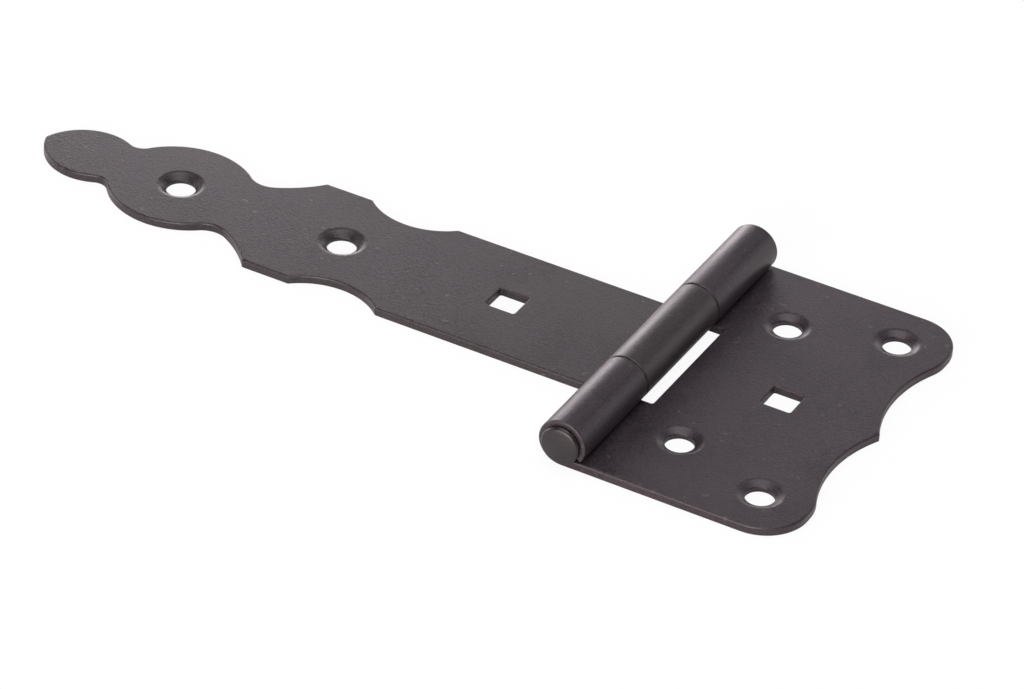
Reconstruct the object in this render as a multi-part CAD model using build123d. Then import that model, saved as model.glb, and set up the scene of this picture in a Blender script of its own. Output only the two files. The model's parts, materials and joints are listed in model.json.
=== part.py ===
from build123d import *
import math
import os

# Tee hinge with an ornamental strap, in millimetres.
# The pin lies along Y, the strap leaf runs towards -X and the butt leaf towards +X.
# Both leaves have their backs on Z = 0, and the origin is below the middle of the pin.

# Sheet, pin and fits
SHEET = 2.0
EDGE_ROUND = 0.35
CORNER_EASE = 0.5
PIN_DIAMETER = 6.5
PIN_PLAY = 0.05
KNUCKLE_PLAY = 0.3
LIP_GAP = 0.3
HEAD_DIAMETER = 8.6
HEAD_GAP = 0.5
HEAD_HEIGHT = 1.2
HEAD_CROWN = 0.3
HEAD_ROUND = 0.5
PEEN_DIAMETER = 8.4
PEEN_RIM = 0.35
PEEN_HEIGHT = 1.0

# Holes for screws and for square-necked bolts
SCREW_HOLE = 6.4
SINK_DIAMETER = 9.6
SINK_DEPTH = 1.0
SQUARE_HOLE = 7.5
SQUARE_CORNER = 0.5

# Strap leaf, with distances measured from the pin axis
STRAP_WIDTH = 35.0
SHOULDER_AT = 7.0
SHOULDER_STEP = 1.95
STRAP_SQUARE_AT = 36.0
STRAP_SCREW_AT = 76.0
SCALLOP_AT = 68.2
SCALLOP_LENGTH = 21.0
SCALLOP_DEPTH = 4.15
COLLAR_LENGTH = 11.3
NECK_WIDTH = 13.8
FLARE_RADIUS = 28.0
DISC_AT = 116.0
DISC_LENGTH = 34.6
DISC_WIDTH = 29.5
WAIST_ROUND = 5.5
LOBE_AT = 138.7
LOBE_LENGTH = 23.4
LOBE_WIDTH = 17.3
NOTCH_ROUND = 3.2

# Butt leaf, with distances measured from the pin axis, and insets from the plate's edges
BUTT_HEIGHT = 85.0
BUTT_REACH = 50.3
BUTT_CORNER = 10.0
SCOOP_INSET = 13.8
SCOOP_DEPTH = 3.4
SCOOP_ROUND = 10.0
SLOT_REACH = 7.0
BUTT_SQUARE_AT = 28.2
INNER_SCREW_AT = 17.3
INNER_SCREW_INSET = 18.4
OUTER_SCREW_INSET = 11.2

# Sizes that follow from the ones above
BORE_RADIUS = PIN_DIAMETER / 2 + PIN_PLAY
BARREL_RADIUS = BORE_RADIUS + SHEET
PIN_HEIGHT = BARREL_RADIUS
MIDDLE_KNUCKLE = STRAP_WIDTH - 2 * SHOULDER_STEP
SLOT_HALF = MIDDLE_KNUCKLE / 2 + KNUCKLE_PLAY
OUTER_KNUCKLE = BUTT_HEIGHT / 2 - SLOT_HALF
LIP_ANGLE = math.degrees(math.asin((BORE_RADIUS - LIP_GAP) / BARREL_RADIUS))
CURL_SWEEP = 270 + LIP_ANGLE
COLLAR_END = SCALLOP_AT + SCALLOP_LENGTH / 2 + COLLAR_LENGTH
STRAP_SCREWS = (STRAP_SCREW_AT, DISC_AT)
SCOOP_END = BUTT_HEIGHT / 2 - SCOOP_INSET
BUTT_SCREWS = (
    (INNER_SCREW_AT, BUTT_HEIGHT / 2 - INNER_SCREW_INSET),
    (BUTT_REACH - OUTER_SCREW_INSET, BUTT_HEIGHT / 2 - OUTER_SCREW_INSET),
)

# Distance within which a point counts as lying on a line of the outline
TOUCH = 0.01


def rolled_knuckle(length):
    """Rolled sheet round the pin, leaving its leaf below the pin and turning up on the +X side."""
    outer = CenterArc((0, PIN_HEIGHT), BARREL_RADIUS, -90, CURL_SWEEP)
    inner = CenterArc((0, PIN_HEIGHT), BORE_RADIUS, -90, CURL_SWEEP)
    section = make_face([outer, Line(outer @ 1, inner @ 1), inner, Line(inner @ 0, outer @ 0)])
    lip = section.vertices().filter_by(lambda vertex: vertex.X < -TOUCH)
    section = fillet(lip, EDGE_ROUND)
    return extrude(Plane.XZ * section, length / 2, both=True)


def stamped_plate(outline, root_length):
    """Sheet plate with the die roll round its front edge, left sharp along the root that is rolled on."""
    plate = extrude(outline, SHEET)
    front = plate.faces().sort_by(Axis.Z)[-1]
    stamped = [edge for edge in front.edges() if abs(edge.center().X) > root_length + TOUCH]
    return fillet(stamped, EDGE_ROUND)


def screw_hole(x, y):
    """Cutter for one screw hole, countersunk from the front."""
    shank = Pos(x, y, SHEET / 2) * Cylinder(SCREW_HOLE / 2, 2 * SHEET)
    sink_place = Pos(x, y, SHEET - SINK_DEPTH / 2)
    return shank + sink_place * Cone(SCREW_HOLE / 2, SINK_DIAMETER / 2, SINK_DEPTH)


def square_hole(x):
    """Cutter for one square hole on the centre line."""
    window = Pos(x, 0) * RectangleRounded(SQUARE_HOLE, SQUARE_HOLE, SQUARE_CORNER)
    return extrude(window, 2 * SHEET, both=True)


def pointed_oval(at, length, width):
    """Two equal arcs that meet in a point at each end, on the strap's centre line."""
    root = (-at + length / 2, 0)
    point = (-at - length / 2, 0)
    upper = ThreePointArc(root, (-at, width / 2), point)
    lower = ThreePointArc(point, (-at, -width / 2), root)
    return make_face([upper, lower])


def scallop(side):
    """Round bite out of one long side of the strap."""
    radius = (SCALLOP_LENGTH ** 2 / 4 + SCALLOP_DEPTH ** 2) / (2 * SCALLOP_DEPTH)
    centre = STRAP_WIDTH / 2 - SCALLOP_DEPTH + radius
    return Pos(-SCALLOP_AT, side * centre) * Circle(radius)


def neck_flare():
    """Neck behind the disc, widening in two hollow arcs to the corners of the collar."""
    rise = (STRAP_WIDTH - NECK_WIDTH) / 2
    run = math.sqrt(FLARE_RADIUS ** 2 - (FLARE_RADIUS - rise) ** 2)
    half_turn = math.asin(run / FLARE_RADIUS) / 2
    mid_x = -COLLAR_END - run + FLARE_RADIUS * math.sin(half_turn)
    mid_y = NECK_WIDTH / 2 + FLARE_RADIUS * (1 - math.cos(half_turn))
    corner = Vector(-COLLAR_END, STRAP_WIDTH / 2)
    end = Vector(-COLLAR_END - run, NECK_WIDTH / 2)
    upper = ThreePointArc(corner, (mid_x, mid_y), end)
    lower = mirror(upper, about=Plane.XZ)
    return make_face([upper, Line(end, lower @ 1), lower, Line(lower @ 0, corner)])


def strap_outline():
    """Flat outline of the strap, from the pin to the pointed tip."""
    root = Pos(-SHOULDER_AT / 2, 0) * Rectangle(SHOULDER_AT, MIDDLE_KNUCKLE)
    bar_length = COLLAR_END - SHOULDER_AT
    bar = Pos(-SHOULDER_AT - bar_length / 2, 0) * Rectangle(bar_length, STRAP_WIDTH)
    bar -= scallop(1) + scallop(-1)
    disc = pointed_oval(DISC_AT, DISC_LENGTH, DISC_WIDTH)
    lobe = pointed_oval(LOBE_AT, LOBE_LENGTH, LOBE_WIDTH)
    outline = root + bar + neck_flare() + disc + lobe
    waist = outline.vertices().filter_by_position(Axis.X, -DISC_AT, -COLLAR_END, (False, False))
    outline = fillet(waist, WAIST_ROUND)
    notch = outline.vertices().filter_by_position(Axis.X, -LOBE_AT, -DISC_AT, (False, False))
    outline = fillet(notch, NOTCH_ROUND)
    side_line = STRAP_WIDTH / 2 - TOUCH
    root_line = -SHOULDER_AT - TOUCH
    corners = outline.vertices().filter_by(lambda vertex: vertex.X < root_line and abs(vertex.Y) > side_line)
    tip = outline.vertices().sort_by(Axis.X)[:1]
    return fillet(corners + tip, CORNER_EASE)


def butt_outline():
    """Flat outline of the butt plate: straight sides, round corners and two scoops that meet in a cusp."""
    half = BUTT_HEIGHT / 2
    cusp = (BUTT_REACH, 0)
    hollow = BUTT_REACH - SCOOP_DEPTH
    upper_scoop = ThreePointArc(cusp, (hollow, SCOOP_END / 2), (BUTT_REACH, SCOOP_END))
    lower_scoop = ThreePointArc((BUTT_REACH, -SCOOP_END), (hollow, -SCOOP_END / 2), cusp)
    upper_side = Polyline((BUTT_REACH, SCOOP_END), (BUTT_REACH, half), (0, half), (0, SLOT_HALF))
    slot = Polyline((0, SLOT_HALF), (SLOT_REACH, SLOT_HALF), (SLOT_REACH, -SLOT_HALF), (0, -SLOT_HALF))
    lower_side = Polyline((0, -SLOT_HALF), (0, -half), (BUTT_REACH, -half), (BUTT_REACH, -SCOOP_END))
    outline = make_face([upper_scoop, upper_side, slot, lower_side, lower_scoop])

    def points_at(x, y):
        return outline.vertices().filter_by(lambda p: abs(p.X - x) < TOUCH and abs(abs(p.Y) - y) < TOUCH)

    for x, y, radius in (
        (BUTT_REACH, half, BUTT_CORNER),
        (BUTT_REACH, SCOOP_END, SCOOP_ROUND),
        (BUTT_REACH, 0, CORNER_EASE),
        (SLOT_REACH, SLOT_HALF, CORNER_EASE),
    ):
        outline = fillet(points_at(x, y), radius)
    return outline


def strap_leaf():
    """Long leaf with the middle knuckle rolled from a root that steps in behind the pin."""
    leaf = stamped_plate(strap_outline(), SHOULDER_AT) + rolled_knuckle(MIDDLE_KNUCKLE)
    for distance in STRAP_SCREWS:
        leaf -= screw_hole(-distance, 0)
    return leaf - square_hole(-STRAP_SQUARE_AT)


def butt_leaf():
    """Short slotted leaf with the two outer knuckles, rolled the other way from the strap's."""
    leaf = stamped_plate(butt_outline(), 0)
    knuckle = mirror(rolled_knuckle(OUTER_KNUCKLE), about=Plane.YZ)
    for side in (1, -1):
        leaf += Pos(0, side * (SLOT_HALF + OUTER_KNUCKLE / 2), 0) * knuckle
        for distance, offset in BUTT_SCREWS:
            leaf -= screw_hole(distance, side * offset)
    return leaf - square_hole(BUTT_SQUARE_AT)


def hinge_pin():
    """Pin turned about its own axis: a crowned head just clear of the knuckle at -Y, a peened dome at +Y."""
    end = BUTT_HEIGHT / 2
    shank = PIN_DIAMETER / 2
    head = HEAD_DIAMETER / 2
    peen = PEEN_DIAMETER / 2
    head_back = -end - HEAD_GAP
    head_front = head_back - HEAD_HEIGHT
    crown_rim = (head, head_front + HEAD_CROWN)
    crown = RadiusArc((0, head_front), crown_rim, -(head ** 2 + HEAD_CROWN ** 2) / (2 * HEAD_CROWN))
    grip = Polyline(crown_rim, (head, head_back), (shank, head_back), (shank, end), (peen, end))
    peen_rim = Line((peen, end), (peen, end + PEEN_RIM))
    dome_rise = PEEN_HEIGHT - PEEN_RIM
    dome_radius = (peen ** 2 + dome_rise ** 2) / (2 * dome_rise)
    dome = RadiusArc((peen, end + PEEN_RIM), (0, end + PEEN_HEIGHT), -dome_radius)
    core = Line((0, end + PEEN_HEIGHT), (0, head_front))
    profile = make_face([crown, grip, peen_rim, dome, core])
    rim = profile.vertices().sort_by_distance((head, head_front))[:1]
    profile = fillet(rim, HEAD_ROUND)
    return Pos(0, 0, PIN_HEIGHT) * revolve(profile, Axis.Y)


NODES = {
    "strap_leaf": strap_leaf,
    "butt_leaf": butt_leaf,
    "hinge_pin": hinge_pin,
}

os.makedirs("parts", exist_ok=True)
for node, build in NODES.items():
    solid = build()
    export_step(solid, f"parts/{node}.step")
    print(f"{node}: {solid.volume:.1f} mm3")
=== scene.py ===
"""Ornamental tee hinge in satin black powder coat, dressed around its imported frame."""

import json
import logging
import math
from dataclasses import dataclass
from enum import Enum
from typing import Any

import bmesh
import bpy
from bmesh.types import BMEdge, BMesh, BMFace, BMVert
from mathutils import Matrix, Vector


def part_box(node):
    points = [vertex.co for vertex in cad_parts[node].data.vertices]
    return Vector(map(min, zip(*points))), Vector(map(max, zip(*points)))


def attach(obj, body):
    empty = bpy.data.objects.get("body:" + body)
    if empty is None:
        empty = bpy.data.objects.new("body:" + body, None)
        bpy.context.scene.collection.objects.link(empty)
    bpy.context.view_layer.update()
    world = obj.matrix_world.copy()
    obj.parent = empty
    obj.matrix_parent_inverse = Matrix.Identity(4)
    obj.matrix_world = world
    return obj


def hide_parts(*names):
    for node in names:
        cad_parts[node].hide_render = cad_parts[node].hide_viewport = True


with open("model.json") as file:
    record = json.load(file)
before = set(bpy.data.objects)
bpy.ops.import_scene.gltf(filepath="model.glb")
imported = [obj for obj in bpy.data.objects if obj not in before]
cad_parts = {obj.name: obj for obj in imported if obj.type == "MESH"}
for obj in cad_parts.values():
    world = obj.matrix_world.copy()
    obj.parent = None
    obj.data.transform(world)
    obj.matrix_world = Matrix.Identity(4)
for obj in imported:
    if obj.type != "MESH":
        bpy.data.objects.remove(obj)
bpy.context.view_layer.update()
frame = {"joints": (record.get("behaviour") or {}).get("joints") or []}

LOG = logging.getLogger("tee_hinge")

Tone = tuple[float, float, float]
Colour = tuple[float, float, float, float]

# Sizes are in millimetres, and a finished mesh is brought to metres
MM = 0.001

# Points nearer than this are one point
TOUCH = 0.001

# An outline that turns by less than the first angle is straight, and by more than the second is a corner
STRAIGHT = 0.001
SHARP = math.radians(15)

QUARTER_TURN = math.pi / 2
NOISE_MIDDLE = 0.5
WHITE = (1.0, 1.0, 1.0, 1.0)


class Axis(Enum):
    """A direction of the frame, as its place in a point."""

    X = 0
    Z = 2


class Side(Enum):
    """A side of the way from one point to another."""

    LEFT = 1
    RIGHT = -1


class Bevel(Enum):
    """What a bevel rounds."""

    EDGES = "EDGES"
    CORNERS = "VERTICES"


class Turn(Enum):
    """Which way round the pin a leaf's root is rolled, as the direction of the rolling axis."""

    UP_ON_PLUS_X = (0.0, -1.0, 0.0)
    UP_ON_MINUS_X = (0.0, 1.0, 0.0)


class Plane(Enum):
    """The plane that an outline is drawn in, as its two drawing directions."""

    FLAT = ((1.0, 0.0, 0.0), (0.0, 1.0, 0.0))
    UPRIGHT = ((1.0, 0.0, 0.0), (0.0, 0.0, 1.0))


class Signal:
    """A value in a node tree. Arithmetic on it adds Math nodes to the tree."""

    def __init__(self, graph: "Graph", socket: bpy.types.NodeSocket) -> None:
        """Wraps one output socket of a node."""
        self.graph = graph
        self.socket = socket

    def _math(self, operation: str, *values: "Signal | float") -> "Signal":
        """Adds one Math node and returns its result."""
        return self.graph.node("ShaderNodeMath", {"operation": operation}, dict(enumerate(values)))

    def output(self, name: str) -> "Signal":
        """Returns another output of the same node."""
        return Signal(self.graph, self.socket.node.outputs[name])

    def __add__(self, other: "Signal | float") -> "Signal":
        """Adds two values."""
        return self._math("ADD", self, other)

    def __radd__(self, other: float) -> "Signal":
        """Adds this value to a number."""
        return self._math("ADD", other, self)

    def __sub__(self, other: "Signal | float") -> "Signal":
        """Takes a value from this one."""
        return self._math("SUBTRACT", self, other)

    def __rsub__(self, other: float) -> "Signal":
        """Takes this value from a number."""
        return self._math("SUBTRACT", other, self)

    def __mul__(self, other: "Signal | float") -> "Signal":
        """Multiplies two values."""
        return self._math("MULTIPLY", self, other)

    def __rmul__(self, other: float) -> "Signal":
        """Multiplies a number by this value."""
        return self._math("MULTIPLY", other, self)

    def most(self, other: "Signal | float") -> "Signal":
        """Returns the larger of two values."""
        return self._math("MAXIMUM", self, other)


class Graph:
    """A node tree that is filled one node at a time."""

    def __init__(self, tree: bpy.types.NodeTree) -> None:
        """Empties a node tree and takes it over."""
        self.tree = tree
        tree.nodes.clear()

    def node(
        self,
        kind: str,
        settings: dict[str, Any] | None = None,
        sockets: dict[str | int, Any] | None = None,
        output: str | int = 0,
    ) -> Signal | None:
        """Adds a node.

        Args:
            kind: The node's type.
            settings: Its properties, which are set first.
            sockets: Values or signals for its inputs, by name or by number.
            output: The output that is returned.

        Returns:
            The chosen output of the new node, or None for a node that ends the tree.
        """
        made = self.tree.nodes.new(kind)
        for name, value in (settings or {}).items():
            setattr(made, name, value)
        for name, value in (sockets or {}).items():
            if isinstance(value, Signal):
                self.tree.links.new(value.socket, made.inputs[name])
            else:
                made.inputs[name].default_value = value
        return Signal(self, made.outputs[output]) if made.outputs else None

    def noise(self, place: Signal, grain: float, detail: float) -> Signal:
        """Returns cloudy noise.

        Args:
            place: The point that is coloured.
            grain: The size of one cloud, in millimetres.
            detail: How many finer layers the noise has.

        Returns:
            A value from about 0.2 to 0.8.
        """
        sockets = {"Vector": place, "Scale": 1 / (grain * MM), "Detail": detail}
        return self.node("ShaderNodeTexNoise", {}, sockets)

    def ramp(self, value: Signal, low: float, high: float) -> Signal:
        """Returns a smooth step from 0 at low to 1 at high."""
        sockets = {"Value": value, "From Min": low, "From Max": high}
        return self.node("ShaderNodeMapRange", {"interpolation_type": "SMOOTHSTEP"}, sockets)

    def blend(self, share: Signal, first: Signal | Colour, second: Signal | Colour) -> Signal:
        """Returns a mix of two colours."""
        sockets = {"Factor": share, 6: first, 7: second}
        return self.node("ShaderNodeMix", {"data_type": "RGBA"}, sockets, 2)


@dataclass(frozen=True)
class PowderCoat:
    """Satin black powder coat, with the fine grain and the stray grains of a baked powder.

    Colours are linear, and lengths are in millimetres.
    """

    name: str
    tone: Tone
    grain_spread: float = 0.45
    cloud_spread: float = 0.12
    mottle_range: tuple[float, float] = (0.3, 0.7)
    roughness: float = 0.40
    roughness_spread: float = 0.20
    cloud: float = 14.0
    cloud_detail: float = 3.0
    peel: float = 1.5
    peel_height: float = 0.008
    grain: float = 0.45
    grain_height: float = 0.042
    fine_detail: float = 2.0
    speck: float = 1.3
    speck_detail: float = 0.0
    speck_range: tuple[float, float] = (0.80, 0.86)
    speck_height: float = 0.01
    speck_share: float = 0.25
    dust: Tone = (0.12, 0.11, 0.11)

    def material(self) -> bpy.types.Material:
        """Builds the coat as a material.

        Returns:
            The new material.
        """
        made = bpy.data.materials.new(self.name)
        made.use_nodes = True
        graph = Graph(made.node_tree)
        place = graph.node("ShaderNodeTexCoord", output="Object")
        cloud = graph.noise(place, self.cloud, self.cloud_detail)
        peel = graph.noise(place, self.peel, self.fine_detail)
        grain = graph.noise(place, self.grain, self.fine_detail)
        specks = graph.ramp(graph.noise(place, self.speck, self.speck_detail), *self.speck_range)
        spread = self.grain_spread + self.cloud_spread
        mottle = (grain * self.grain_spread + cloud * self.cloud_spread) * (1 / spread)
        dark, light = ((*(part * level for part in self.tone), 1.0) for level in (1 - spread, 1 + spread))
        colour = graph.blend(graph.ramp(mottle, *self.mottle_range), dark, light)
        dusted = graph.blend(specks * self.speck_share, colour, (*self.dust, 1.0))
        uneven = (cloud - NOISE_MIDDLE) + (grain - NOISE_MIDDLE)
        rough = uneven * self.roughness_spread + self.roughness
        height = peel * self.peel_height + grain * self.grain_height + specks * self.speck_height
        relief = {"Height": height * MM, "Distance": 1.0, "Strength": 1.0}
        normal = graph.node("ShaderNodeBump", {}, relief)
        sockets = {"Base Color": dusted, "Roughness": rough, "Normal": normal}
        coat = graph.node("ShaderNodeBsdfPrincipled", {}, sockets)
        graph.node("ShaderNodeOutputMaterial", {}, {"Surface": coat})
        return made


class Pen:
    """Draws one open outline in a bmesh, with straight runs and spun arcs."""

    STEP_ANGLE = math.radians(4)
    STEP_LENGTH = 0.8
    LEAST_STEPS = 2

    def __init__(
        self,
        bm: BMesh,
        start: Vector,
        plane: Plane = Plane.FLAT,
        origin: Vector | None = None,
    ) -> None:
        """Puts the pen down.

        Args:
            bm: The mesh that is drawn in.
            start: The first point, in the plane's two directions.
            plane: The plane that is drawn in.
            origin: The plane's own zero point.
        """
        self.bm = bm
        self.across, self.along = (Vector(direction) for direction in plane.value)
        self.origin = origin or Vector((0, 0, 0))
        self.at = start
        self.tip = bm.verts.new(self._place(start))
        self.drawn: list[BMVert | BMEdge] = [self.tip]

    def _place(self, point: Vector) -> Vector:
        """Returns where a point of the drawing lies in space."""
        return self.origin + self.across * point.x + self.along * point.y

    def line_to(self, end: Vector) -> None:
        """Draws a straight run."""
        run = bmesh.ops.extrude_vert_indiv(self.bm, verts=[self.tip])
        self.tip = run["verts"][0]
        self.tip.co = self._place(end)
        self.at = end
        self.drawn += run["verts"] + run["edges"]

    def arc_to(self, centre: Vector, end: Vector) -> None:
        """Draws an arc, the shorter way round its centre."""
        first, last = self.at - centre, end - centre
        turn = math.atan2(first.cross(last), first.dot(last))
        by_length = abs(turn) * first.length / self.STEP_LENGTH
        by_angle = abs(turn) / self.STEP_ANGLE
        steps = max(self.LEAST_STEPS, math.ceil(max(by_length, by_angle)))
        old_verts, old_edges = set(self.bm.verts), set(self.bm.edges)
        spun = bmesh.ops.spin(
            self.bm,
            geom=[self.tip],
            cent=self._place(centre),
            axis=self.across.cross(self.along),
            angle=turn,
            steps=steps,
        )
        self.tip = next(item for item in spun["geom_last"] if isinstance(item, BMVert))
        self.at = end
        self.drawn += [vert for vert in self.bm.verts if vert not in old_verts]
        self.drawn += [edge for edge in self.bm.edges if edge not in old_edges]

    def corner(self, corner: Vector, after: Vector, radius: float) -> None:
        """Draws a straight run towards a corner and rounds it.

        Args:
            corner: Where the two runs would meet.
            after: A point on the run that follows.
            radius: The rounding's radius.
        """
        inwards = (self.at - corner).normalized()
        outwards = (after - corner).normalized()
        half = inwards.angle(outwards) / 2
        reach = radius / math.tan(half)
        centre = corner + (inwards + outwards).normalized() * radius / math.sin(half)
        self.line_to(corner + inwards * reach)
        self.arc_to(centre, corner + outwards * reach)


def arc_radius(chord: float, rise: float) -> float:
    """Returns the radius of an arc from its chord and its rise."""
    return (chord ** 2 / 4 + rise ** 2) / (2 * rise)


def crossing(
    first: Vector,
    first_reach: float,
    second: Vector,
    second_reach: float,
    side: Side,
) -> Vector:
    """Finds a point at two given distances from two others.

    Args:
        first: The first point.
        first_reach: The distance from it.
        second: The second point.
        second_reach: The distance from that one.
        side: The side of the way from first to second.

    Returns:
        The point on that side.
    """
    gap = second - first
    along = (first_reach ** 2 - second_reach ** 2 + gap.length_squared) / (2 * gap.length)
    off = math.sqrt(first_reach ** 2 - along ** 2)
    forwards = gap.normalized()
    return first + forwards * along + Vector((-forwards.y, forwards.x)) * off * side.value


def towards(start: Vector, goal: Vector, reach: float) -> Vector:
    """Returns the point at a distance from a start, on the way to a goal."""
    return start + (goal - start).normalized() * reach


def lies_at(item: BMEdge | BMFace, axis: Axis, value: float) -> bool:
    """Tells whether every corner of an edge or a face has the given coordinate."""
    return all(abs(vert.co[axis.value] - value) < TOUCH for vert in item.verts)


def soften(
    bm: BMesh,
    parts: list[BMVert] | list[BMEdge],
    size: float,
    segments: int,
    kind: Bevel = Bevel.EDGES,
) -> None:
    """Bevels edges or corners with a round profile.

    Args:
        bm: The mesh.
        parts: The edges or the corners.
        size: How far the bevel reaches.
        segments: How many steps it has.
        kind: Whether the parts are edges or corners.
    """
    bmesh.ops.bevel(
        bm,
        geom=parts,
        offset=size,
        offset_type="OFFSET",
        segments=segments,
        profile=0.5,
        affect=kind.value,
        clamp_overlap=kind is Bevel.CORNERS,
        loop_slide=True,
        material=-1,
    )


@dataclass(frozen=True)
class Sheet:
    """The sheet that both leaves are stamped and rolled from."""

    thickness: float = 2.0
    front_round: float = 0.42
    front_steps: int = 5
    back_round: float = 0.32
    back_steps: int = 3
    corner_ease: float = 0.22
    corner_steps: int = 4
    lip_round: float = 0.28
    lip_steps: int = 4
    lip_gap: float = 0.3


@dataclass(frozen=True)
class ScrewHole:
    """A round hole, countersunk from the front with a soft rim."""

    at: tuple[float, float]
    hole: float = 6.4
    sink: float = 9.6
    sink_depth: float = 1.2
    rim_round: float = 2.0
    throat_round: float = 0.3
    back_round: float = 0.1
    steps: int = 72

    def wall(self, bm: BMesh, sheet: Sheet) -> list[BMEdge]:
        """Spins the hole's wall in place.

        Args:
            bm: The leaf's mesh.
            sheet: The sheet that the hole goes through.

        Returns:
            The edges of the hole's front and back rims.
        """
        radius = self.hole / 2
        before = set(bm.edges)
        front_rim = Vector((self.sink / 2, sheet.thickness))
        throat = Vector((radius, sheet.thickness - self.sink_depth))
        back_rim = Vector((radius, 0))
        back_end = back_rim + Vector((self.back_round, 0))
        lead = self.rim_round * math.tan((front_rim - throat).angle(Vector((1, 0))) / 2)
        pen = Pen(bm, front_rim + Vector((lead, 0)), Plane.UPRIGHT, Vector((*self.at, 0)))
        pen.corner(front_rim, throat, self.rim_round)
        pen.corner(throat, back_rim, self.throat_round)
        pen.corner(back_rim, back_end, self.back_round)
        bmesh.ops.spin(
            bm,
            geom=pen.drawn,
            cent=(*self.at, 0),
            axis=(0, 0, 1),
            angle=math.tau,
            steps=self.steps,
            use_merge=True,
        )
        return [edge for edge in bm.edges if edge not in before and edge.is_boundary]


@dataclass(frozen=True)
class SquareHole:
    """A square hole for a bolt's neck, with softened rims."""

    at: tuple[float, float]
    size: float = 6.9
    corner: float = 0.5
    corner_steps: int = 5
    rim_round: float = 0.3
    rim_steps: int = 3

    def _ring(self, bm: BMesh, grow: float, height: float) -> list[BMEdge]:
        """Draws the hole's outline at one height.

        Args:
            bm: The leaf's mesh.
            grow: The margin that the outline is grown by.
            height: The height above the sheet's back.

        Returns:
            The outline's edges.
        """
        place = Matrix.Translation((*self.at, height))
        half = self.size / 2 + grow
        square = bmesh.ops.create_grid(bm, x_segments=1, y_segments=1, size=half, matrix=place)
        others = set(bm.faces) - {square["verts"][0].link_faces[0]}
        soften(bm, square["verts"], self.corner + grow, self.corner_steps, Bevel.CORNERS)
        rounded = max((face for face in bm.faces if face not in others), key=BMFace.calc_area)
        edges = rounded.edges[:]
        bmesh.ops.delete(bm, geom=[rounded], context="FACES_ONLY")
        return edges

    def wall(self, bm: BMesh, sheet: Sheet) -> list[BMEdge]:
        """Bridges the hole's wall from the front rim to the back one.

        Args:
            bm: The leaf's mesh.
            sheet: The sheet that the hole goes through.

        Returns:
            The edges of the hole's front and back rims.
        """
        rim = []
        for step in range(self.rim_steps + 1):
            turn = QUARTER_TURN * step / self.rim_steps
            rim.append((self.rim_round * (1 - math.sin(turn)), self.rim_round * (1 - math.cos(turn))))
        levels = [(grow, sheet.thickness - depth) for grow, depth in rim]
        levels += [(grow, depth) for grow, depth in reversed(rim)]
        rings = [self._ring(bm, grow, height) for grow, height in levels]
        for upper, lower in zip(rings, rings[1:]):
            bmesh.ops.bridge_loops(bm, edges=upper + lower)
        return rings[0] + rings[-1]


@dataclass
class HingePin:
    """The pin through all the knuckles, with a crowned head and a peened end."""

    finish: PowderCoat
    height: float
    barrel: float
    diameter: float = 6.5
    head_diameter: float = 8.6
    head_gap: float = 0.5
    head_height: float = 1.2
    head_crown: float = 0.5
    head_round: float = 0.8
    seat_round: float = 0.15
    peen_diameter: float = 8.4
    peen_rim: float = 0.35
    peen_height: float = 1.0
    steps: int = 96

    def build(self) -> BMesh:
        """Turns the pin about its own axis.

        Returns:
            The pin's mesh, in millimetres.
        """
        bm = bmesh.new()
        end = self.barrel / 2
        shank, head, peen = self.diameter / 2, self.head_diameter / 2, self.peen_diameter / 2
        back = -end - self.head_gap
        front = back - self.head_height
        crown = arc_radius(2 * head, self.head_crown)
        crown_centre = Vector((0, front + crown))
        rim_in = head - self.head_round
        rim_drop = math.sqrt((crown - self.head_round) ** 2 - rim_in ** 2)
        rim_centre = crown_centre + Vector((rim_in, -rim_drop))
        pen = Pen(bm, Vector((0, front)), Plane.FLAT, Vector((0, 0, self.height)))
        pen.arc_to(crown_centre, towards(crown_centre, rim_centre, crown))
        pen.arc_to(rim_centre, Vector((head, rim_centre.y)))
        pen.corner(Vector((head, back)), Vector((shank, back)), self.seat_round)
        pen.line_to(Vector((shank, back)))
        pen.line_to(Vector((shank, end)))
        pen.corner(Vector((peen, end)), Vector((peen, end + self.peen_rim)), self.seat_round)
        pen.line_to(Vector((peen, end + self.peen_rim)))
        dome = arc_radius(2 * peen, self.peen_height - self.peen_rim)
        pen.arc_to(Vector((0, end + self.peen_height - dome)), Vector((0, end + self.peen_height)))
        bmesh.ops.spin(
            bm,
            geom=pen.drawn,
            cent=(0, 0, self.height),
            axis=(0, 1, 0),
            angle=math.tau,
            steps=self.steps,
            use_merge=True,
        )
        bmesh.ops.remove_doubles(bm, verts=bm.verts[:], dist=TOUCH)
        return bm


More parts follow.
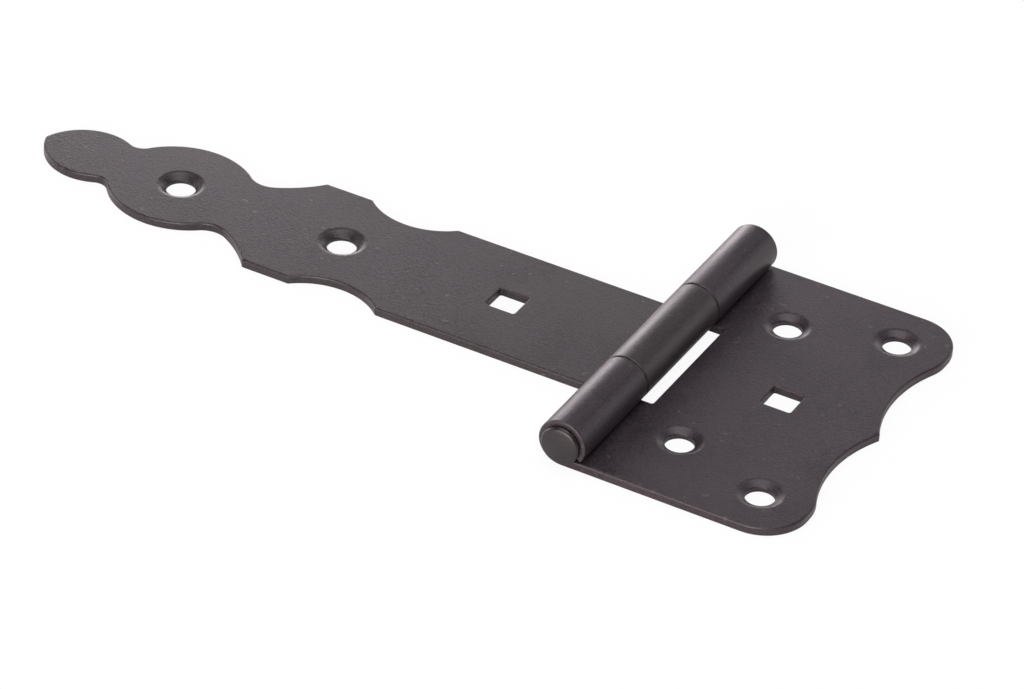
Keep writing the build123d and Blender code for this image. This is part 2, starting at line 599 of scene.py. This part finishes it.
@dataclass
class RolledLeaf:
    """A leaf stamped from sheet, pierced, and rolled round the pin at its root."""

    finish: PowderCoat
    sheet: Sheet
    pin_height: float
    bore: float
    turn: Turn
    roll_steps: int = 100
    lip_step: float = math.radians(7)

    def draw_half(self, bm: BMesh) -> None:
        """Draws the outline's +Y half, from the centre line at the root to the one at the tip."""
        raise NotImplementedError

    def holes(self) -> list[ScrewHole | SquareHole]:
        """Returns the holes through the leaf."""
        raise NotImplementedError

    def build(self) -> BMesh:
        """Stamps, pierces and rolls the leaf.

        Returns:
            The leaf's mesh, in millimetres.
        """
        bm = bmesh.new()
        self.draw_half(bm)
        self._close(bm)
        self._thicken(bm)
        self._round_edges(bm)
        self._pierce(bm)
        self._roll(bm)
        bmesh.ops.remove_doubles(bm, verts=bm.verts[:], dist=TOUCH)
        return bm

    def _close(self, bm: BMesh) -> None:
        """Mirrors the half outline, fills it and eases its sharp corners."""
        bmesh.ops.mirror(bm, geom=bm.verts[:] + bm.edges[:], axis="Y", merge_dist=TOUCH)
        bmesh.ops.remove_doubles(bm, verts=bm.verts[:], dist=TOUCH)
        bmesh.ops.edgeloop_fill(bm, edges=bm.edges[:])
        straight = [vert for vert in bm.verts if vert.calc_edge_angle(0) < STRAIGHT]
        bmesh.ops.dissolve_verts(bm, verts=straight)
        corners = [vert for vert in bm.verts if vert.calc_edge_angle(0) > SHARP]
        free = [vert for vert in corners if abs(vert.co.x) > TOUCH]
        soften(bm, free, self.sheet.corner_ease, self.sheet.corner_steps, Bevel.CORNERS)

    def _thicken(self, bm: BMesh) -> None:
        """Raises the filled outline to a plate."""
        raised = bmesh.ops.extrude_face_region(bm, geom=bm.faces[:])
        front = [item for item in raised["geom"] if isinstance(item, BMVert)]
        bmesh.ops.translate(bm, verts=front, vec=(0, 0, self.sheet.thickness))
        bmesh.ops.recalc_face_normals(bm, faces=bm.faces[:])

    def _round_edges(self, bm: BMesh) -> None:
        """Rounds the plate's outline on both faces, but not where the sheet is rolled on."""
        for height, size, steps in (
            (self.sheet.thickness, self.sheet.front_round, self.sheet.front_steps),
            (0.0, self.sheet.back_round, self.sheet.back_steps),
        ):
            edges = [edge for edge in bm.edges if lies_at(edge, Axis.Z, height)]
            soften(bm, [edge for edge in edges if not lies_at(edge, Axis.X, 0)], size, steps)

    def _pierce(self, bm: BMesh) -> None:
        """Replaces the plate's two faces by ones with holes, and joins the holes' walls to them."""
        rims: dict[float, list[BMEdge]] = {}
        faces = []
        for height in (0.0, self.sheet.thickness):
            level = [face for face in bm.faces if lies_at(face, Axis.Z, height)]
            faces.append(max(level, key=BMFace.calc_area))
            rims[height] = faces[-1].edges[:]
        bmesh.ops.delete(bm, geom=faces, context="FACES_ONLY")
        for hole in self.holes():
            for edge in hole.wall(bm, self.sheet):
                rims[0.0 if lies_at(edge, Axis.Z, 0) else self.sheet.thickness].append(edge)
        for height, edges in rims.items():
            bmesh.ops.triangle_fill(bm, edges=edges, use_beauty=True, normal=(0, 0, 1 if height else -1))
        bmesh.ops.recalc_face_normals(bm, faces=bm.faces[:])

    def _roll(self, bm: BMesh) -> None:
        """Rolls each root face round the pin and rounds the free lip."""
        outer = self.bore + self.sheet.thickness
        sweep = 3 * QUARTER_TURN + math.asin((self.bore - self.sheet.lip_gap) / outer)
        roots = [face for face in bm.faces if lies_at(face, Axis.X, 0)]
        for root in roots:
            end = root
            for angle, steps in ((sweep - self.lip_step, self.roll_steps), (self.lip_step, 1)):
                spun = bmesh.ops.spin(
                    bm,
                    geom=[end],
                    cent=(0, 0, self.pin_height),
                    axis=self.turn.value,
                    angle=angle,
                    steps=steps,
                )
                bmesh.ops.delete(bm, geom=[end], context="FACES_ONLY")
                end = next(item for item in spun["geom_last"] if isinstance(item, BMFace))
            soften(bm, end.edges[:], self.sheet.lip_round, self.sheet.lip_steps)
        bmesh.ops.recalc_face_normals(bm, faces=bm.faces[:])


@dataclass
class StrapLeaf(RolledLeaf):
    """The long leaf: a scalloped bar, a collar, a disc and a pointed lobe on one stem."""

    width: float = 35.0
    shoulder_at: float = 7.0
    shoulder_step: float = 1.95
    shoulder_round: float = 0.5
    square_at: float = 36.0
    screw_at: float = 76.0
    scallop_at: float = 68.2
    scallop_length: float = 21.0
    scallop_depth: float = 4.15
    collar_length: float = 11.3
    neck_width: float = 13.8
    flare_radius: float = 28.0
    disc_at: float = 116.0
    disc_length: float = 34.6
    disc_width: float = 29.5
    waist_round: float = 5.5
    lobe_at: float = 138.7
    lobe_length: float = 23.4
    lobe_width: float = 17.3
    notch_round: float = 3.2

    def draw_half(self, bm: BMesh) -> None:
        """Draws the outline's +Y half, from the pin to the pointed tip."""
        side = self.width / 2
        scallop_from = self.scallop_at - self.scallop_length / 2
        scallop_to = self.scallop_at + self.scallop_length / 2
        collar_end = scallop_to + self.collar_length
        scallop = arc_radius(self.scallop_length, self.scallop_depth)
        disc = arc_radius(self.disc_length, self.disc_width / 2)
        lobe = arc_radius(self.lobe_length, self.lobe_width / 2)
        flare_drop = self.flare_radius - (self.width - self.neck_width) / 2
        flare_run = math.sqrt(self.flare_radius ** 2 - flare_drop ** 2)

        scallop_centre = Vector((-self.scallop_at, side - self.scallop_depth + scallop))
        flare_centre = Vector((-collar_end - flare_run, self.neck_width / 2 + self.flare_radius))
        disc_centre = Vector((-self.disc_at, self.disc_width / 2 - disc))
        lobe_centre = Vector((-self.lobe_at, self.lobe_width / 2 - lobe))
        in_flare, off_disc = self.flare_radius - self.waist_round, disc + self.waist_round
        waist_centre = crossing(flare_centre, in_flare, disc_centre, off_disc, Side.LEFT)
        by_disc, by_lobe = disc + self.notch_round, lobe + self.notch_round
        notch_centre = crossing(disc_centre, by_disc, lobe_centre, by_lobe, Side.RIGHT)

        root = side - self.shoulder_step
        outer_shoulder = Vector((-self.shoulder_at, side))

        pen = Pen(bm, Vector((0, 0)))
        pen.line_to(Vector((0, root)))
        pen.corner(Vector((-self.shoulder_at, root)), outer_shoulder, self.shoulder_round)
        pen.corner(outer_shoulder, Vector((-scallop_from, side)), self.shoulder_round)
        pen.line_to(Vector((-scallop_from, side)))
        pen.arc_to(scallop_centre, Vector((-scallop_to, side)))
        pen.line_to(Vector((-collar_end, side)))
        pen.arc_to(flare_centre, towards(flare_centre, waist_centre, self.flare_radius))
        pen.arc_to(waist_centre, towards(disc_centre, waist_centre, disc))
        pen.arc_to(disc_centre, towards(disc_centre, notch_centre, disc))
        pen.arc_to(notch_centre, towards(lobe_centre, notch_centre, lobe))
        pen.arc_to(lobe_centre, Vector((-self.lobe_at - self.lobe_length / 2, 0)))

    def holes(self) -> list[ScrewHole | SquareHole]:
        """Returns the square hole and the two screw holes on the centre line."""
        screws = [ScrewHole((-distance, 0.0)) for distance in (self.screw_at, self.disc_at)]
        return [SquareHole((-self.square_at, 0.0)), *screws]


@dataclass
class ButtLeaf(RolledLeaf):
    """The short leaf: a slotted plate with round corners and two scoops that meet in a cusp."""

    height: float = 85.0
    reach: float = 50.3
    corner_round: float = 10.0
    scoop_inset: float = 13.8
    scoop_depth: float = 3.4
    scoop_round: float = 10.0
    slot_half: float = 15.85
    slot_reach: float = 6.7
    slot_round: float = 0.5
    square_at: float = 28.2
    inner_screw_at: float = 17.3
    inner_screw_inset: float = 18.4
    outer_screw_inset: float = 11.2
    screw_hole: float = 6.2
    sink_depth: float = 0.85

    def draw_half(self, bm: BMesh) -> None:
        """Draws the outline's +Y half, from the slot's floor to the cusp."""
        half = self.height / 2
        scoop_end = half - self.scoop_inset
        scoop = arc_radius(scoop_end, self.scoop_depth)
        scoop_centre = Vector((self.reach - self.scoop_depth + scoop, scoop_end / 2))
        shoulder_in = self.reach - self.scoop_round
        shoulder_rise = math.sqrt((scoop + self.scoop_round) ** 2 - (scoop_centre.x - shoulder_in) ** 2)
        shoulder = Vector((shoulder_in, scoop_centre.y + shoulder_rise))
        corner = Vector((self.reach, half))
        slot_corner = Vector((self.slot_reach, self.slot_half))
        slot_mouth = Vector((0, self.slot_half))

        pen = Pen(bm, Vector((self.slot_reach, 0)))
        pen.corner(slot_corner, slot_mouth, self.slot_round)
        pen.line_to(slot_mouth)
        pen.line_to(Vector((0, half)))
        pen.corner(corner, Vector((self.reach, 0)), self.corner_round)
        pen.line_to(shoulder + Vector((self.scoop_round, 0)))
        pen.arc_to(shoulder, towards(scoop_centre, shoulder, scoop))
        pen.arc_to(scoop_centre, Vector((self.reach, 0)))

    def holes(self) -> list[ScrewHole | SquareHole]:
        """Returns the square hole on the centre line and the four screw holes."""
        half = self.height / 2
        inner = (self.inner_screw_at, half - self.inner_screw_inset)
        outer = (self.reach - self.outer_screw_inset, half - self.outer_screw_inset)
        spots = [(x, side * y) for x, y in (inner, outer) for side in (1, -1)]
        screws = [ScrewHole(spot, hole=self.screw_hole, sink_depth=self.sink_depth) for spot in spots]
        return [SquareHole((self.square_at, 0.0)), *screws]


def add_piece(part: RolledLeaf | HingePin, name: str, node: str, body: str) -> bpy.types.Object:
    """Turns a built part into a piece that stands for its CAD node.

    Args:
        part: The part, which builds its own mesh.
        name: The new piece's name.
        node: The CAD node that it stands for.
        body: The body that it rides on.

    Returns:
        The new piece.
    """
    bm = part.build()
    bmesh.ops.recalc_face_normals(bm, faces=bm.faces[:])
    bmesh.ops.scale(bm, vec=(MM, MM, MM), verts=bm.verts[:])
    for face in bm.faces:
        face.smooth = True
    mesh = bpy.data.meshes.new(name)
    bm.to_mesh(mesh)
    bm.free()
    mesh.materials.append(part.finish.material())
    piece = bpy.data.objects.new(name, mesh)
    bpy.context.scene.collection.objects.link(piece)
    weighting = piece.modifiers.new("flat_faces", "WEIGHTED_NORMAL")
    weighting.keep_sharp = True
    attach(piece, body)
    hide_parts(node)
    LOG.info("%s: %d faces, rides on %s", name, len(mesh.polygons), body)
    return piece


@dataclass(frozen=True)
class SoftBox:
    """A soft square lamp that looks at a point, with its place in metres."""

    name: str
    at: tuple[float, float, float]
    aim: tuple[float, float, float]
    size: float
    power: float
    colour: Tone

    def light(self) -> None:
        """Hangs the lamp."""
        lamp = bpy.data.lights.new(self.name, "AREA")
        lamp.shape = "SQUARE"
        lamp.size = self.size
        lamp.energy = self.power
        lamp.color = self.colour
        made = bpy.data.objects.new(self.name, lamp)
        made.location = self.at
        made.rotation_mode = "QUATERNION"
        made.rotation_quaternion = (Vector(self.aim) - Vector(self.at)).to_track_quat("-Z", "Y")
        bpy.context.scene.collection.objects.link(made)


@dataclass
class Studio:
    """White floor, white surroundings, soft lamps and the camera."""

    floor_size: float = 3.0
    floor_tone: float = 0.9
    floor_drop: float = 0.1
    shadow_share: float = 0.08
    fill: Tone = (0.165, 0.15, 0.16)
    aim: tuple[float, float, float] = (-0.04, 0.0, 0.0)
    small_lamp: float = 0.5
    large_lamp: float = 0.8
    lamp_tone: Tone = (1.0, 0.92, 0.96)
    warm_tone: Tone = (1.0, 0.85, 0.82)
    picture_width: float = 1024.0
    sensor: float = 36.0
    focal_pixels: float = 5293.4
    azimuth: float = 27.206
    elevation: float = 34.713
    roll: float = 3.534
    target: tuple[float, float, float] = (-28.715, -10.853, 0.0)
    distance: float = 1091.1

    def surroundings(self) -> None:
        """Makes the world white where it is seen and a soft grey where it only lights."""
        world = bpy.data.worlds.new("white_studio")
        world.use_nodes = True
        bpy.context.scene.world = world
        graph = Graph(world.node_tree)
        path = graph.node("ShaderNodeLightPath", output="Is Camera Ray")
        seen = path.most(path.output("Is Transmission Ray"))
        colour = graph.blend(seen, (*self.fill, 1.0), WHITE)
        sky = graph.node("ShaderNodeBackground", {}, {"Color": colour, "Strength": 1})
        graph.node("ShaderNodeOutputWorld", {}, {"Surface": sky})

    def floor(self) -> None:
        """Lays the floor that the hinge rests on, white to the camera but for the hinge's shadow."""
        bm = bmesh.new()
        place = Matrix.Translation((0, 0, -self.floor_drop * MM))
        bmesh.ops.create_grid(bm, x_segments=1, y_segments=1, size=self.floor_size / 2, matrix=place)
        mesh = bpy.data.meshes.new("floor")
        bm.to_mesh(mesh)
        bm.free()
        paint = bpy.data.materials.new("white_floor")
        paint.use_nodes = True
        graph = Graph(paint.node_tree)
        tone = (self.floor_tone, self.floor_tone, self.floor_tone, 1)
        matt = graph.node("ShaderNodeBsdfDiffuse", {}, {"Color": tone})
        clear = graph.node("ShaderNodeBsdfTransparent")
        path = graph.node("ShaderNodeLightPath", output="Is Camera Ray")
        seen = path.most(path.output("Is Transmission Ray"))
        share = seen * (1 - self.shadow_share)
        surface = graph.node("ShaderNodeMixShader", {}, {0: share, 1: matt, 2: clear})
        graph.node("ShaderNodeOutputMaterial", {}, {"Surface": surface})
        mesh.materials.append(paint)
        made = bpy.data.objects.new("floor", mesh)
        bpy.context.scene.collection.objects.link(made)

    def lamps(self) -> None:
        """Hangs the lamps, small ones behind and at the sides and large ones in front and above."""
        small, large = self.small_lamp, self.large_lamp
        plain, warm = self.lamp_tone, self.warm_tone
        for lamp in (
            SoftBox("back_left_lamp", (-0.75, 0.75, 0.12), self.aim, small, 3.8, plain),
            SoftBox("back_lamp", (-0.45, 0.85, 0.2), self.aim, small, 2.0, plain),
            SoftBox("low_back_lamp", (0.1, 1.0, 0.1), self.aim, small, 1.65, plain),
            SoftBox("high_back_lamp", (0.1, 0.8, 0.73), self.aim, small, 0.4, plain),
            SoftBox("right_lamp", (0.68, 0.74, 0.26), self.aim, small, 1.0, plain),
            SoftBox("front_lamp", (0.0, -1.0, 0.12), self.aim, large, 21.0, warm),
            SoftBox("front_high_lamp", (0.4, -0.8, 0.6), self.aim, large, 2.5, plain),
            SoftBox("left_lamp", (-1.0, -0.1, 0.1), self.aim, small, 6.0, warm),
            SoftBox("top_lamp", (0.0, 0.0, 1.0), self.aim, large, 6.0, plain),
        ):
            lamp.light()

    def camera(self) -> None:
        """Sets the camera to the photograph's view."""
        side, lift, roll = (math.radians(angle) for angle in (self.azimuth, self.elevation, self.roll))
        level = math.cos(lift)
        back = Vector((math.sin(side) * level, -math.cos(side) * level, math.sin(lift)))
        right = Vector((math.cos(side), math.sin(side), 0))
        up = back.cross(right)
        turned = right * math.cos(roll) + up * math.sin(roll)
        risen = up * math.cos(roll) - right * math.sin(roll)
        lens = bpy.data.cameras.new("camera")
        lens.sensor_width = self.sensor
        lens.lens = self.focal_pixels * self.sensor / self.picture_width
        made = bpy.data.objects.new("camera", lens)
        axes = Matrix((turned, risen, back)).transposed().to_4x4()
        made.matrix_world = Matrix.Translation((Vector(self.target) + back * self.distance) * MM) @ axes
        bpy.context.scene.collection.objects.link(made)
        bpy.context.scene.camera = made

    def build(self) -> None:
        """Sets up everything around the hinge."""
        bpy.context.scene.view_settings.view_transform = "Standard"
        self.surroundings()
        self.floor()
        self.lamps()
        self.camera()


def main() -> None:
    """Builds the hinge and its studio."""
    logging.basicConfig(level=logging.INFO)
    pin_height = frame["joints"][0]["pos_m"][2] / MM
    low, high = (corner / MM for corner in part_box("butt_leaf"))
    barrel = high.y - low.y
    sheet = Sheet()
    bore = pin_height - sheet.thickness
    strap_coat = PowderCoat("strap_powder_coat", (0.0151, 0.0127, 0.0142))
    butt_coat = PowderCoat("butt_powder_coat", (0.0158, 0.0118, 0.0152))
    # Painted shade: the pin has the same satin powder coat as the leaves, painted at about a third of
    # their tone to darken its head
    pin_coat_painted_shade = PowderCoat("pin_powder_coat_painted_shade", (0.0048, 0.0038, 0.0046), roughness=0.36)
    strap = StrapLeaf(strap_coat, sheet, pin_height, bore, Turn.UP_ON_PLUS_X)
    butt = ButtLeaf(butt_coat, sheet, pin_height, bore, Turn.UP_ON_MINUS_X)
    pin = HingePin(pin_coat_painted_shade, pin_height, barrel)
    add_piece(strap, "strap_leaf_coated", "strap_leaf", "strap")
    add_piece(butt, "butt_leaf_coated", "butt_leaf", "butt")
    add_piece(pin, "hinge_pin_coated", "hinge_pin", "butt")
    Studio().build()


if __name__ == "__main__":
    main()
